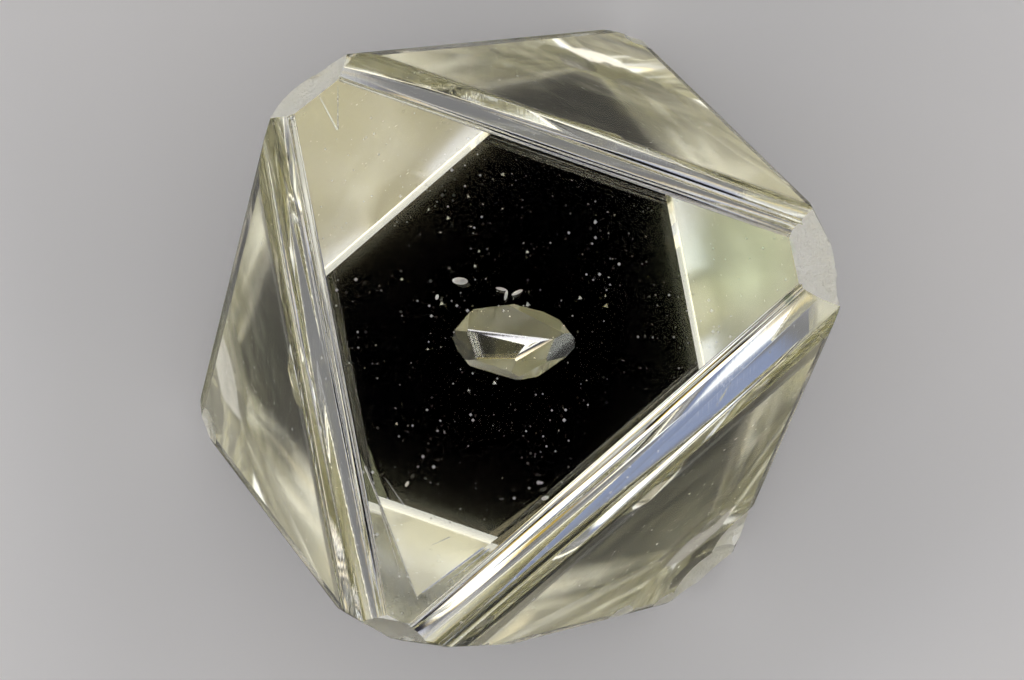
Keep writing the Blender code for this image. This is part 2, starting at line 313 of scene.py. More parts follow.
def make_active(piece: Piece) -> None:
    """Selects one object alone and makes it active.

    Args:
        piece: The object.
    """
    deselect_all()
    piece.select_set(True)
    bpy.context.view_layer.objects.active = piece


def start_block(name: str, middle: Vector, size: float) -> Piece:
    """Adds the cube that a crystal is cut from.

    Args:
        name: The new object's name.
        middle: Its middle.
        size: Its side length.

    Returns:
        The block.
    """
    deselect_all()
    bpy.ops.mesh.primitive_cube_add(size=size, location=middle)
    block = bpy.context.object
    block.name = name
    bpy.ops.object.transform_apply(location=True, rotation=True, scale=True)
    return block


def cut_to_flats(block: Piece, flats: Sequence[Flat]) -> None:
    """Cuts away what lies outside each flat, closing each cut.

    Args:
        block: The object that is cut.
        flats: The planes, facing outwards.
    """
    make_active(block)
    bpy.ops.object.mode_set(mode="EDIT")
    for flat in flats:
        bpy.ops.mesh.select_all(action="SELECT")
        bpy.ops.mesh.bisect(
            plane_co=flat.point,
            plane_no=flat.normal,
            use_fill=True,
            clear_outer=True,
            threshold=CUT_TOLERANCE,
        )
    bpy.ops.mesh.select_all(action="SELECT")
    bpy.ops.mesh.normals_make_consistent(inside=False)
    bpy.ops.object.mode_set(mode="OBJECT")


def cut_away(body: Piece, cutter: Piece) -> None:
    """Takes one cutter's shape out of the body, with the cutter's finish on the cut, and deletes it.

    Args:
        body: The object that is cut.
        cutter: The shape that is taken out.
    """
    make_active(body)
    cut = body.modifiers.new(cutter.name, "BOOLEAN")
    cut.operation = "DIFFERENCE"
    cut.solver = "EXACT"
    cut.material_mode = "TRANSFER"
    cut.object = cutter
    bpy.ops.object.modifier_apply(modifier=cut.name)
    bpy.data.objects.remove(cutter)


@contextmanager
def cutting(body: Piece, name: str, finish: Finish) -> Iterator[None]:
    """Opens an empty cutter in edit mode, and at the end takes the shapes added to it out of the body.

    Args:
        body: The object that is cut.
        name: The cutter's name.
        finish: The finish that it leaves.

    Yields:
        Nothing. Each primitive that is added meanwhile is a part of the cutter.
    """
    deselect_all()
    mesh = bpy.data.meshes.new(name)
    cutter = bpy.data.objects.new(name, mesh)
    bpy.context.scene.collection.objects.link(cutter)
    mesh.materials.append(bpy.data.materials[finish.value])
    make_active(cutter)
    bpy.ops.object.mode_set(mode="EDIT")
    yield
    bpy.ops.object.mode_set(mode="OBJECT")
    cut_away(body, cutter)


def bring_to_frame(piece: Piece) -> None:
    """Moves a finished piece from the crystal's millimetres into the frame's metres.

    Args:
        piece: The piece.
    """
    make_active(piece)
    piece.location = AXIS_PLACE * MM
    piece.scale = (MM, MM, MM)
    bpy.ops.object.transform_apply(location=True, rotation=True, scale=True)


def reach_from_axis(flats: Sequence[Flat], azimuth: float, height: float) -> float:
    """Measures how far the stone reaches from its axis.

    Args:
        flats: The stone's flats.
        azimuth: The direction, in degrees.
        height: The height above the back face.

    Returns:
        The distance.
    """
    outward = direction(azimuth, 90.0)
    start = UP * height
    reach = BLANK_SIZE
    for flat in flats:
        along = flat.normal.dot(outward)
        if along > LEAST_LEAN:
            reach = min(reach, flat.normal.dot(flat.point - start) / along)
    return reach


def is_clear(flats: Sequence[Flat], point: Vector, own: Vector, margin: float) -> bool:
    """Tells whether a point of one face is clear of every other flat.

    Args:
        flats: The stone's flats.
        point: The point.
        own: The normal of the face that it lies in.
        margin: How clear it must be.

    Returns:
        Whether it is.
    """
    others = (flat for flat in flats if flat.normal.dot(own) < SAME_FACING)
    return all(flat.normal.dot(flat.point - point) > margin for flat in others)


@dataclass(frozen=True)
class Grain:
    """A fine pattern of noise: its scale and detail, its height in metres, and how its axes are scaled."""

    scale: float
    detail: float
    roughness: float
    height: float = 0.0
    stretch: tuple[float, float, float] | None = None


RELIEF_GRAINS = {
    Relief.STRIATED: Grain(1.0, 1.0, 0.7, 0.35e-6, (60000.0, 900.0, 900.0)),
    Relief.CLOUDY: Grain(1800.0, 2.0, 0.35, 7e-6),
    Relief.BROKEN: Grain(26000.0, 2.0, 0.7, 16e-6),
}


@dataclass
class NodePen:
    """Adds nodes to one node tree."""

    tree: bpy.types.NodeTree

    def add(
        self, kind: str, inputs: dict[str | int, object] | None = None, **settings: object
    ) -> bpy.types.Node:
        """Adds one node.

        Args:
            kind: The node's type.
            inputs: What its inputs are fed with, by their names or numbers.
            **settings: Its properties.

        Returns:
            The node.
        """
        node = self.tree.nodes.new(kind)
        for name, value in settings.items():
            setattr(node, name, value)
        for name, value in (inputs or {}).items():
            self.feed(value, node.inputs[name])
        return node

    def feed(self, value: object, socket: Socket) -> None:
        """Joins an output to an input, or sets the input to a plain value.

        Args:
            value: An output, a number, a vector or an opaque colour.
            socket: The input.
        """
        if isinstance(value, Socket):
            self.tree.links.new(value, socket)
        elif socket.type == "RGBA":
            socket.default_value = (*value, 1.0)
        else:
            socket.default_value = value

    def math(self, operation: str, *values: Socket | float) -> Socket:
        """Adds one sum.

        Args:
            operation: The Math node's operation.
            *values: The numbers or outputs that it takes.

        Returns:
            The result's output.
        """
        return self.add("ShaderNodeMath", dict(enumerate(values)), operation=operation).outputs[0]

    def compare(self, operation: str, first: Socket, second: Vector) -> Socket:
        """Measures one vector against another.

        Args:
            operation: The Vector Math node's operation.
            first: The output that is measured.
            second: What it is measured against.

        Returns:
            The measure's output.
        """
        node = self.add("ShaderNodeVectorMath", {0: first, 1: second}, operation=operation)
        return node.outputs["Value"]

    def along(self, facing: Socket, azimuth: float, height: float) -> Socket:
        """Measures how far a direction reaches along another one.

        Args:
            facing: The direction that is looked in.
            azimuth: Degrees round from +X of the other.
            height: Degrees that the other rises above level.

        Returns:
            The cosine between them.
        """
        return self.compare("DOT_PRODUCT", facing, direction(azimuth, 90.0 - height))

    def window(
        self, value: Socket, low: float, high: float, to_low: float = 0.0, to_high: float = 1.0
    ) -> Socket:
        """Maps a value from one range to another, smoothly and clamped.

        Args:
            value: The output that is mapped.
            low: Where the range starts.
            high: Where it ends.
            to_low: What low becomes.
            to_high: What high becomes.

        Returns:
            The mapped output.
        """
        inputs = {"Value": value, "From Min": low, "From Max": high, "To Min": to_low, "To Max": to_high}
        return self.add("ShaderNodeMapRange", inputs, interpolation_type="SMOOTHSTEP").outputs["Result"]

    def mix(self, share: Socket, base: Socket | Color, added: Socket | Color, blend: str = "MIX") -> Socket:
        """Mixes two colours.

        Args:
            share: The share of the second.
            base: The first colour.
            added: The second colour.
            blend: The Mix node's blend type.

        Returns:
            The colour output.
        """
        inputs = {0: share, MIX_BASE: base, MIX_ADDED: added}
        node = self.add("ShaderNodeMix", inputs, data_type="RGBA", blend_type=blend)
        return node.outputs[MIX_RESULT]

    def bands(self, share: Socket, bands: Bands) -> Socket:
        """Adds a ramp of colours.

        Args:
            share: The height that is looked to, from 0 straight below to 1 straight above.
            bands: Where each band starts, as the sine of its height, and its colour.

        Returns:
            The colour output.
        """
        ramp = self.add("ShaderNodeValToRGB", {"Fac": share})
        stops = ramp.color_ramp.elements
        while len(stops) < len(bands):
            stops.new(0.5)
        for stop, (height, color) in zip(stops, bands):
            stop.position = (height + 1.0) / 2.0
            stop.color = (*color, 1.0)
        return ramp.outputs["Color"]

    def place(self, turn: float = 0.0, scale: tuple[float, float, float] = (1.0, 1.0, 1.0)) -> Socket:
        """Gives object coordinates, turned about Z and scaled.

        Args:
            turn: Degrees that the pattern is turned by.
            scale: How much each axis is scaled.

        Returns:
            The vector output.
        """
        source = self.add("ShaderNodeTexCoord").outputs["Object"]
        inputs = {"Vector": source, "Rotation": (0.0, 0.0, math.radians(turn)), "Scale": scale}
        return self.add("ShaderNodeMapping", inputs).outputs["Vector"]

    def noise(self, place: Socket, grain: Grain) -> Socket:
        """Adds a noise.

        Args:
            place: The coordinates that it is read at.
            grain: Its grain.

        Returns:
            The noise's value output.
        """
        return self.add("ShaderNodeTexNoise", {
            "Vector": place,
            "Scale": grain.scale,
            "Detail": grain.detail,
            "Roughness": grain.roughness,
        }).outputs["Fac"]

    def raise_surface(self, shader: bpy.types.Node, height: Socket) -> None:
        """Gives a shader its low relief.

        Args:
            shader: The shader.
            height: The relief's height, in metres.
        """
        bump = self.add("ShaderNodeBump", {"Strength": 1.0, "Distance": 1.0, "Height": height})
        self.feed(bump.outputs["Normal"], shader.inputs["Normal"])


def start_material(
    name: str, inputs: dict[str, object]
) -> tuple[bpy.types.Material, NodePen, bpy.types.Node]:
    """Starts one material.

    Args:
        name: Its name.
        inputs: The values of its shader's inputs.

    Returns:
        The material, its pen and its shader.
    """
    material = bpy.data.materials.new(name)
    material.use_nodes = True
    pen = NodePen(material.node_tree)
    shader = pen.tree.nodes["Principled BSDF"]
    for label, value in inputs.items():
        pen.feed(value, shader.inputs[label])
    return material, pen, shader


@dataclass(frozen=True)
class Dust:
    """Fine specks in loose clouds, most of them tiny. The spacing and the greatest radius are in metres."""

    spacing: float = 34e-6
    radius: float = 13e-6
    rarity: float = 4.0
    cloud: Grain = Grain(2600.0, 1.0, 0.5)
    cloud_edge: Span = (0.38, 0.66)
    cloud_size: Span = (0.45, 1.3)

    def mask(self, pen: NodePen, place: Socket) -> Socket:
        """Adds the specks.

        Args:
            pen: The material's pen.
            place: Object coordinates.

        Returns:
            How dull the surface is: 0 outside the specks.
        """
        inputs = {"Vector": place, "Scale": 1.0 / self.spacing}
        cells = pen.add("ShaderNodeTexVoronoi", inputs, distance="MANHATTAN")
        parts = pen.add("ShaderNodeSeparateColor", {"Color": cells.outputs["Color"]})
        size = pen.math("POWER", parts.outputs["Green"], self.rarity)
        cloud = pen.window(pen.noise(place, self.cloud), *self.cloud_edge, *self.cloud_size)
        reach = pen.math("MULTIPLY", pen.math("MULTIPLY", size, self.radius / self.spacing), cloud)
        spot = pen.math("LESS_THAN", cells.outputs["Distance"], reach)
        return pen.math("MULTIPLY", spot, parts.outputs["Blue"])


@dataclass(frozen=True)
class Stain:
    """One soft green stain near the surface: its place on the front face, radius and colour."""

    x: float
    y: float
    radius: float
    color: Color
    core: float = 0.3

    def tint(self, pen: NodePen, place: Socket, color: Socket | Color) -> Socket:
        """Stains the surface's colour.

        Args:
            pen: The material's pen.
            place: Object coordinates.
            color: The colour so far.

        Returns:
            The colour output.
        """
        spot = (AXIS_PLACE + Vector((self.x, self.y, THICKNESS))) * MM
        away = pen.compare("DISTANCE", place, spot)
        near = pen.window(away, self.radius * self.core * MM, self.radius * MM, 1.0, 0.0)
        return pen.mix(near, color, self.color)


@dataclass(frozen=True)
class ClearFinish:
    """One finish of the clear stone.

    All finishes share one refraction and one khaki absorption. They differ in relief, wear and stains.
    """

    relief: Relief
    roughness: float
    turn: float = 0.0
    specks: float = 0.5
    bump: float = 1.0
    frost: float = 0.0
    stains: tuple[Stain, ...] = ()
    dust: Dust = Dust()

    absorption_color: Color = (0.93, 0.90, 0.52)
    absorption_density: float = 60.0

    def build(self, name: str) -> bpy.types.Material:
        """Makes the material.

        Args:
            name: The material's name.

        Returns:
            The material.
        """
        material, pen, shader = start_material(name, {
            "Base Color": WHITE,
            "Transmission Weight": 1.0,
            "IOR": DIAMOND_IOR,
            "Roughness": self.roughness,
        })
        absorption = pen.add("ShaderNodeVolumeAbsorption", {
            "Color": self.absorption_color,
            "Density": self.absorption_density,
        })
        pen.feed(absorption.outputs[0], pen.tree.nodes["Material Output"].inputs["Volume"])
        place = pen.place()
        if self.specks:
            dull = self.dust.mask(pen, place)
            clear = pen.math("MULTIPLY_ADD", dull, -self.specks, 1.0 - self.frost)
            pen.feed(clear, shader.inputs["Transmission Weight"])
        color = WHITE
        for stain in self.stains:
            color = stain.tint(pen, place, color)
        pen.feed(color, shader.inputs["Base Color"])
        if self.relief is not Relief.POLISHED:
            pen.raise_surface(shader, self.height(pen, place))
        return material

    def height(self, pen: NodePen, place: Socket) -> Socket:
        """Gives the relief's height, in metres.

        Args:
            pen: The material's pen.
            place: Object coordinates.

        Returns:
            The height output.
        """
        grain = RELIEF_GRAINS[self.relief]
        if grain.stretch:
            place = pen.place(-self.turn, grain.stretch)
        return pen.math("MULTIPLY", pen.noise(place, grain), grain.height * self.bump)


@dataclass(frozen=True)
class InclusionFinish:
    """The finish of the small crystal inside: clear, smooth, with faint growth lines."""

    color: Color = (0.97, 0.98, 0.90)
    haze: Grain = Grain(30000.0, 3.0, 0.6)
    haze_edge: Span = (0.3, 0.8)
    roughness: Span = (0.0, 0.06)
    lines: Grain = Grain(1.0, 2.0, 0.5, 0.15e-6, (4000.0, 90000.0, 4000.0))
    lines_turn: float = -8.0

    def build(self) -> bpy.types.Material:
        """Makes the material.

        Returns:
            The material.
        """
        material, pen, shader = start_material("inclusion_crystal", {
            "Base Color": self.color,
            "Transmission Weight": 1.0,
            "IOR": INCLUSION_IOR,
        })
        haze = pen.noise(pen.place(), self.haze)
        pen.feed(pen.window(haze, *self.haze_edge, *self.roughness), shader.inputs["Roughness"])
        lines = pen.noise(pen.place(self.lines_turn, self.lines.stretch), self.lines)
        pen.raise_surface(shader, pen.math("MULTIPLY", lines, self.lines.height))
        return material


@dataclass
class DiamondBody:
    """The clear stone: a flattened octahedron lying on a face, with its growth marks and its wear."""

    front_edges: dict[str, FrontEdge]
    back_edges: dict[str, BackEdge]
    side_edges: tuple[SideEdge, ...]
    corner_flats: tuple[LevelFlat, ...]
    ledges: tuple[Ledge, ...]
    chips: tuple[Chip, ...]
    marks: tuple[Mark, ...]
    grooves: tuple[Groove, ...]
    strip_lines: tuple[StripLine, ...]
    finishes: dict[Finish, ClearFinish]

    # Across a rounded edge: the share of its width where each facet starts, and its tilt.
    strip_facets: tuple[Span, ...] = (
        (0.00, 22.0),
        (0.06, 24.5),
        (0.12, 27.0),
        (0.19, 29.5),
        (0.26, 32.5),
        (0.35, 34.8),
        (0.46, 35.8),
        (0.58, 36.6),
        (0.70, 37.3),
        (0.82, 38.0),
        (0.96, 46.0),
    )
    strip_yaw: float = 0.22
    strip_seed: int = 3
    rounding_facets: int = 7

    ledge_cutter: float = 0.6
    mark_lift: float = 0.15
    chip_stretch: Span = (0.82, 1.18)
    chip_roughness: float = 0.02

    # The bar that leaves a growth line: its radius in depths, and how many times wider it is made.
    groove_height: float = 2.5
    groove_spread: float = 2.5

    # The edges that wear into nicks: their least bend and length. None lies within the front face's rim.
    sharp_bend: float = 9.0
    sharp_length: float = 0.25
    front_rim: float = 0.02

    # Nicks: the tries for each, how rare the great ones are, and the least spacing in sums of two radii.
    nick_count: int = 150
    nick_tries: int = 6
    nick_radius: Span = (0.014, 0.055)
    nick_rarity: int = 2
    nick_bite: float = 0.30
    nick_spacing: float = 1.3
    nick_stretch: Span = (0.7, 1.3)
    nick_seed: int = 21

    # Pits: half the width and height in which places are tried on a face, and depth and spacing in sides.
    front_pits: int = 60
    side_pits: int = 26
    back_pits: int = 20
    front_pit_reach: float = 1.05
    pit_field: Span = (1.9, 2.7)
    pit_side: Span = (0.010, 0.034)
    pit_rarity: int = 4
    pit_depth: float = 0.22
    pit_depth_spread: Span = (0.6, 1.4)
    pit_spacing: float = 2.2
    pit_margin: float = 1.5
    pit_seed: int = 5

    def strip_profile(self, edge: FrontEdge) -> list[tuple[float, float, float]]:
        """Gives the facets across a rounded edge, from the front face outwards.

        Args:
            edge: The rounded edge.

        Returns:
            The tilt of each facet, and the radius and height where it starts. The last row holds the
            side face's.
        """
        height = THICKNESS
        starts = [share for share, _ in self.strip_facets] + [1.0]
        rows = []
        for number, (share, tilt) in enumerate(self.strip_facets):
            rows.append((tilt, edge.inradius + share * edge.width, height))
            step = (starts[number + 1] - share) * edge.width
            height -= step * math.tan(math.radians(tilt))
        rows.append((90.0 - SIDE_LEAN, edge.inradius + edge.width, height))
        return rows

    def strip_spot(self, edge: FrontEdge, across: float) -> tuple[float, float, float]:
        """Finds a spot across a rounded edge.

        Args:
            edge: The rounded edge.
            across: The share of the edge's width.

        Returns:
            The surface's tilt, radius and height there.
        """
        rows = self.strip_profile(edge)
        starts = [share for share, _ in self.strip_facets]
        first = max(number for number, share in enumerate(starts) if share <= across)
        tilt, radius, height = rows[first]
        step = (across - starts[first]) * edge.width
        return tilt, radius + step, height - step * math.tan(math.radians(tilt))

    def upper_side(self, edge: FrontEdge) -> Flat:
        """Gives the side face under a rounded front edge."""
        tilt, radius, height = self.strip_profile(edge)[-1]
        return LevelFlat(edge.azimuth, tilt, radius, height, Finish.UPPER_SIDE).plane()

    def lower_side(self, edge: BackEdge) -> Flat:
        """Gives the side face above a bevelled back edge.

        Args:
            edge: The back edge.

        Returns:
            The side face.
        """
        rise = edge.width * math.tan(math.radians(BEVEL_TILT))
        radius = edge.inradius + edge.width
        return LevelFlat(edge.azimuth, 90.0 + edge.lean, radius, rise, Finish.LOWER_SIDE).plane()

    def side_edge_flats(self, edge: SideEdge) -> list[Flat]:
        """Gives the narrow flats that turn an upper side face into a lower one.

        Args:
            edge: The edge between the two side faces.

        Returns:
            The flats, each touching the edge's rounding.
        """
        upper = self.upper_side(self.front_edges[edge.upper])
        lower = self.lower_side(self.back_edges[edge.lower])
        along = upper.normal.cross(lower.normal).normalized()
        rows = Matrix((upper.normal, lower.normal, along))
        reach = Vector((
            upper.normal.dot(upper.point) - edge.rounding,
            lower.normal.dot(lower.point) - edge.rounding,
            0.0,
        ))
        centre = rows.inverted() @ reach
        turn = upper.normal.angle(lower.normal)
        flats = []
        for number in range(self.rounding_facets):
            share = (number + 1) / (self.rounding_facets + 1)
            normal = Matrix.Rotation(turn * share, 3, along) @ upper.normal
            flats.append(Flat(centre + normal * edge.rounding, normal, Finish.WORN))
        return flats

    def flats(self) -> list[Flat]:
        """Gives every flat of the stone before its ledges, chips and pits.

        Returns:
            The flats: the front face, the back face and then the others.
        """
        draw = random.Random(self.strip_seed)
        planes = [Flat(UP * THICKNESS, UP, Finish.FRONT), Flat(Vector(), DOWN, Finish.BACK)]
        for edge in self.front_edges.values():
            for tilt, radius, height in self.strip_profile(edge)[:-1]:
                azimuth = edge.azimuth + draw.uniform(-self.strip_yaw, self.strip_yaw)
                planes.append(LevelFlat(azimuth, tilt, radius, height, edge.finish).plane())
            planes.append(self.upper_side(edge))
        for edge in self.back_edges.values():
            bevel = LevelFlat(edge.azimuth, 180.0 - BEVEL_TILT, edge.inradius, 0.0, Finish.BACK)
            planes.append(bevel.plane())
            planes.append(self.lower_side(edge))
        for edge in self.side_edges:
            planes.extend(self.side_edge_flats(edge))
        planes.extend(flat.plane() for flat in self.corner_flats)
        return planes

    def paint(self, body: Piece, flats: Sequence[Flat]) -> None:
        """Gives each face the finish of the flat that it lies in.

        Args:
            body: The stone, cut to its flats.
            flats: Its flats.
        """
        for face in body.data.polygons:
            face.material_index = Finish.WORN.slot()
            for flat in flats:
                near = abs(flat.normal.dot(face.center - flat.point)) < SAME_PLANE
                if near and flat.normal.dot(face.normal) > SAME_FACING:
                    face.material_index = flat.finish.slot()
                    break

    def rounded_slots(self) -> set[int]:
        """Gives the material slots of the rounded edges."""
        return {edge.finish.slot() for edge in self.front_edges.values()}

    def cut_ledges(self, body: Piece) -> None:
        """Cuts the growth steps along the front edges: each a level tread and an upright riser.

        Args:
            body: The stone.
        """
        for number, ledge in enumerate(self.ledges):
            edge = self.front_edges[ledge.edge]
            tilt, radius, height = self.strip_spot(edge, ledge.across)
            tilt = math.radians(tilt)
            radius -= ledge.depth * math.sin(tilt)
            height -= ledge.depth * math.cos(tilt)
            spot = Matrix.Rotation(math.radians(edge.azimuth), 4, "Z")
            spot = spot @ Matrix.Translation((radius, 0.0, height))
            spot = spot @ Matrix.Rotation(math.radians(ledge.yaw), 4, "Z")
            size = Vector((self.ledge_cutter, ledge.end - ledge.start, self.ledge_cutter))
            middle = spot @ Vector((size.x / 2, (ledge.start + ledge.end) / 2, size.z / 2))
            with cutting(body, f"ledge_{number}", edge.finish):
                bpy.ops.mesh.primitive_cube_add(
                    size=1.0, location=middle, rotation=spot.to_euler(), scale=size
                )

    def cut_chips(self, body: Piece, flats: Sequence[Flat]) -> None:
        """Breaks out the shell-shaped chips.

        Args:
            body: The stone.
            flats: Its flats.
        """
        for number, chip in enumerate(self.chips):
            draw = random.Random(number)
            radius = reach_from_axis(flats, chip.azimuth, chip.height)
            middle = direction(chip.azimuth, 90.0) * (radius + chip.radius - chip.bite)
            middle.z = chip.height
            shape = random_shape(draw, self.chip_stretch)
            with cutting(body, f"chip_{number}", Finish.BROKEN):
                bpy.ops.mesh.primitive_ico_sphere_add(
                    subdivisions=4, radius=chip.radius, location=middle, **shape
                )
                bpy.ops.transform.vertex_random(offset=chip.radius * self.chip_roughness, seed=number)

    def sharp_edges(self, body: Piece) -> list[tuple[Vector, Vector, Vector, float]]:
        """Finds the long sharp edges that wear first.

        Args:
            body: The stone, cut to its flats.

        Returns:
            For each, its two ends, the direction out of the stone and its length.
        """
        mesh = body.data
        rounded = self.rounded_slots()
        faces: dict[tuple[int, int], list[Vector]] = {}
        for face in mesh.polygons:
            if face.material_index in rounded:
                continue
            for key in face.edge_keys:
                faces.setdefault(key, []).append(face.normal.copy())
        found = []
        for key, normals in sorted(faces.items()):
            first, last = (mesh.vertices[number].co.copy() for number in key)
            length = (last - first).length
            level = min(first.z, last.z) > THICKNESS - self.front_rim
            sharp = len(normals) == 2 and normals[0].angle(normals[1]) > math.radians(self.sharp_bend)
            if sharp and length > self.sharp_length and not level:
                found.append((first, last, (normals[0] + normals[1]).normalized(), length))
        return found

    def cut_nicks(self, body: Piece, edges: Sequence[tuple[Vector, Vector, Vector, float]]) -> None:
        """Scatters small nicks along the sharp edges, none of them near another.

        Args:
            body: The stone.
            edges: Its sharp edges.
        """
        draw = random.Random(self.nick_seed)
        spots: list[tuple[Vector, float]] = []
        weights = [length for _first, _last, _outward, length in edges]
        with cutting(body, "nicks", Finish.BROKEN):
            for _ in range(self.nick_count * self.nick_tries):
                first, last, outward, _length = draw.choices(edges, weights)[0]
                radius = low_draw(draw, self.nick_radius, self.nick_rarity)
                middle = first.lerp(last, draw.random()) + outward * radius * (1 - self.nick_bite)
                clear = all(
                    (middle - other).length > self.nick_spacing * (radius + far) for other, far in spots
                )
                if not clear or middle.z < 2 * radius:
                    continue
                bpy.ops.mesh.primitive_ico_sphere_add(
                    subdivisions=2, radius=radius, location=middle, **random_shape(draw, self.nick_stretch)
                )
                spots.append((middle, radius))
                if len(spots) == self.nick_count:
                    break

    def cut_pits(self, body: Piece, flats: Sequence[Flat]) -> None:
        """Scatters three-sided etch pits over the faces, pointing the other way round from each face.

        Args:
            body: The stone.
            flats: Its flats.
        """
        targets = [(flats[0], self.front_pits, TOP), (flats[1], self.back_pits, RIGHT)]
        targets += [(self.upper_side(edge), self.side_pits, 90.0) for edge in self.front_edges.values()]
        targets += [(self.lower_side(edge), self.side_pits, 90.0) for edge in self.back_edges.values()]
        draw = random.Random(self.pit_seed)
        wide, high = self.pit_field
        spacing = self.pit_spacing * max(self.pit_side)
        spots: list[Vector] = []
        with cutting(body, "pits", Finish.PIT):
            for flat, count, heading in targets:
                level = UP.cross(flat.normal)
                if level.length < LEAST_LEAN:
                    level = Vector((1.0, 0.0, 0.0))
                level.normalize()
                up = flat.normal.cross(level)
                facing = Matrix((level, up, flat.normal)).transposed()
                facing = facing @ Matrix.Rotation(math.radians(heading), 3, "Z")
                facing = facing @ Matrix.Diagonal((1.0, -1.0, -1.0))
                wanted = len(spots) + count
                while len(spots) < wanted:
                    side = low_draw(draw, self.pit_side, self.pit_rarity)
                    middle = flat.point + level * draw.uniform(-wide, wide) + up * draw.uniform(-high, high)
                    apart = all((middle - other).length > spacing for other in spots)
                    if not apart or not is_clear(flats, middle, flat.normal, self.pit_margin * side):
                        continue
                    if flat.finish is Finish.FRONT and middle.xy.length > self.front_pit_reach:
                        continue
                    bpy.ops.mesh.primitive_cone_add(
                        vertices=3,
                        radius1=2 * side / math.sqrt(3),
                        depth=2 * side * self.pit_depth * draw.uniform(*self.pit_depth_spread),
                        location=middle,
                        rotation=facing.to_euler(),
                    )
                    spots.append(middle)

    def add_groove(self, start: Vector, end: Vector, normal: Vector, depths: Span) -> None:
        """Adds the tapered three-sided bar that leaves one groove.

        Args:
            start: Where the groove starts, on the surface.
            end: Where it ends.
            normal: The surface's normal.
            depths: How deep it is at the start and at the end.
        """
        along = (end - start).normalized()
        down = -normal
        across = down.cross(along)
        facing = Matrix((across, down, along)).transposed()
        high = self.groove_height * max(depths)
        slope = (depths[1] - depths[0]) / (end - start).length
        lean = Matrix.Rotation(math.atan(slope), 3, across)
        bpy.ops.mesh.primitive_cone_add(
            vertices=3,
            radius1=high,
            radius2=high,
            depth=(end - start).length,
            location=(start + end) / 2 + normal * (high - (depths[0] + depths[1]) / 2),
            rotation=(lean @ facing).to_euler(),
            scale=(self.groove_spread, 1.0, 1.0),
        )

    def cut_grooves(self, body: Piece) -> None:
        """Cuts the fine growth lines of the front face and of its rounded edges.

        Args:
            body: The stone.
        """
        for number, groove in enumerate(self.grooves):
            ends = [Vector((*place, THICKNESS)) for place in (groove.start, groove.end)]
            with cutting(body, f"groove_{number}", Finish.FRONT):
                self.add_groove(*ends, UP, groove.depths)
        for number, line in enumerate(self.strip_lines):
            edge = self.front_edges[line.edge]
            ends = []
            for across, place in zip(line.across, line.along):
                _tilt, radius, height = self.strip_spot(edge, across)
                spot = Vector((radius, place, height))
                ends.append(Matrix.Rotation(math.radians(edge.azimuth), 3, "Z") @ spot)
            tilt = self.strip_spot(edge, (line.across[0] + line.across[1]) / 2)[0]
            normal = direction(edge.azimuth, tilt)
            along = (ends[1] - ends[0]).normalized()
            normal = (normal - along * normal.dot(along)).normalized()
            with cutting(body, f"strip_line_{number}", edge.finish):
                self.add_groove(*ends, normal, line.depths)

    def cut_marks(self, body: Piece) -> None:
        """Cuts the small separate marks of the front face.

        Args:
            body: The stone.
        """
        with cutting(body, "marks", Finish.BROKEN):
            for mark in self.marks:
                bpy.ops.mesh.primitive_ico_sphere_add(
                    subdivisions=3,
                    radius=1.0,
                    location=(mark.x, mark.y, THICKNESS + mark.depth * self.mark_lift),
                    rotation=(0.0, 0.0, math.radians(mark.turn)),
                    scale=(mark.long, mark.short, mark.depth),
                )

    def smooth_edges(self, body: Piece) -> None:
        """Shades the rounded edges smooth, so that their narrow flats run into one curve.

        Args:
            body: The stone.
        """
        rounded = self.rounded_slots()
        for face in body.data.polygons:
            face.use_smooth = face.material_index in rounded

    def build(self, pocket: Piece) -> Piece:
        """Builds the stone.

        Args:
            pocket: The shape that is hollowed out round the inclusion.

        Returns:
            The finished piece.
        """
        flats = self.flats()
        body = start_block("diamond", UP * (THICKNESS / 2), BLANK_SIZE)
        for finish in Finish:
            body.data.materials.append(self.finishes[finish].build(finish.value))
        cut_to_flats(body, flats)
        self.paint(body, flats)
        edges = self.sharp_edges(body)
        self.cut_ledges(body)
        self.cut_grooves(body)
        self.cut_chips(body, flats)
        self.cut_nicks(body, edges)
        self.cut_pits(body, flats)
        self.cut_marks(body)
        pocket.data.materials.append(bpy.data.materials[Finish.POCKET.value])
        cut_away(body, pocket)
        self.smooth_edges(body)
        bring_to_frame(body)
        return body


@dataclass
class InclusionCrystal:
    """The small clear crystal inside, and the pocket that it sits in."""

    middle: Vector
    facets: dict[str, Facet]
    finish: InclusionFinish
    gap: float = 0.006
    block_size: float = 1.6

    def cut_shape(self, name: str, grow: float) -> Piece:
        """Cuts the crystal's shape from a block.

        Args:
            name: The new object's name.
            grow: How far each facet is moved outwards.

        Returns:
            The shape.
        """
        flats = []
        for facet in self.facets.values():
            normal = direction(facet.azimuth, facet.tilt)
            flats.append(Flat(self.middle + normal * (facet.distance + grow), normal, Finish.POCKET))
        block = start_block(name, self.middle, self.block_size)
        cut_to_flats(block, flats)
        return block

    def build_pocket(self) -> Piece:
        """Builds the shape of the pocket: the crystal with a thin gap all round."""
        return self.cut_shape("pocket", self.gap)

    def build(self) -> Piece:
        """Builds the crystal.

        Returns:
            The finished piece.
        """
        crystal = self.cut_shape("inclusion_crystal", 0.0)
        crystal.data.materials.append(self.finish.build())
        bring_to_frame(crystal)
        return crystal


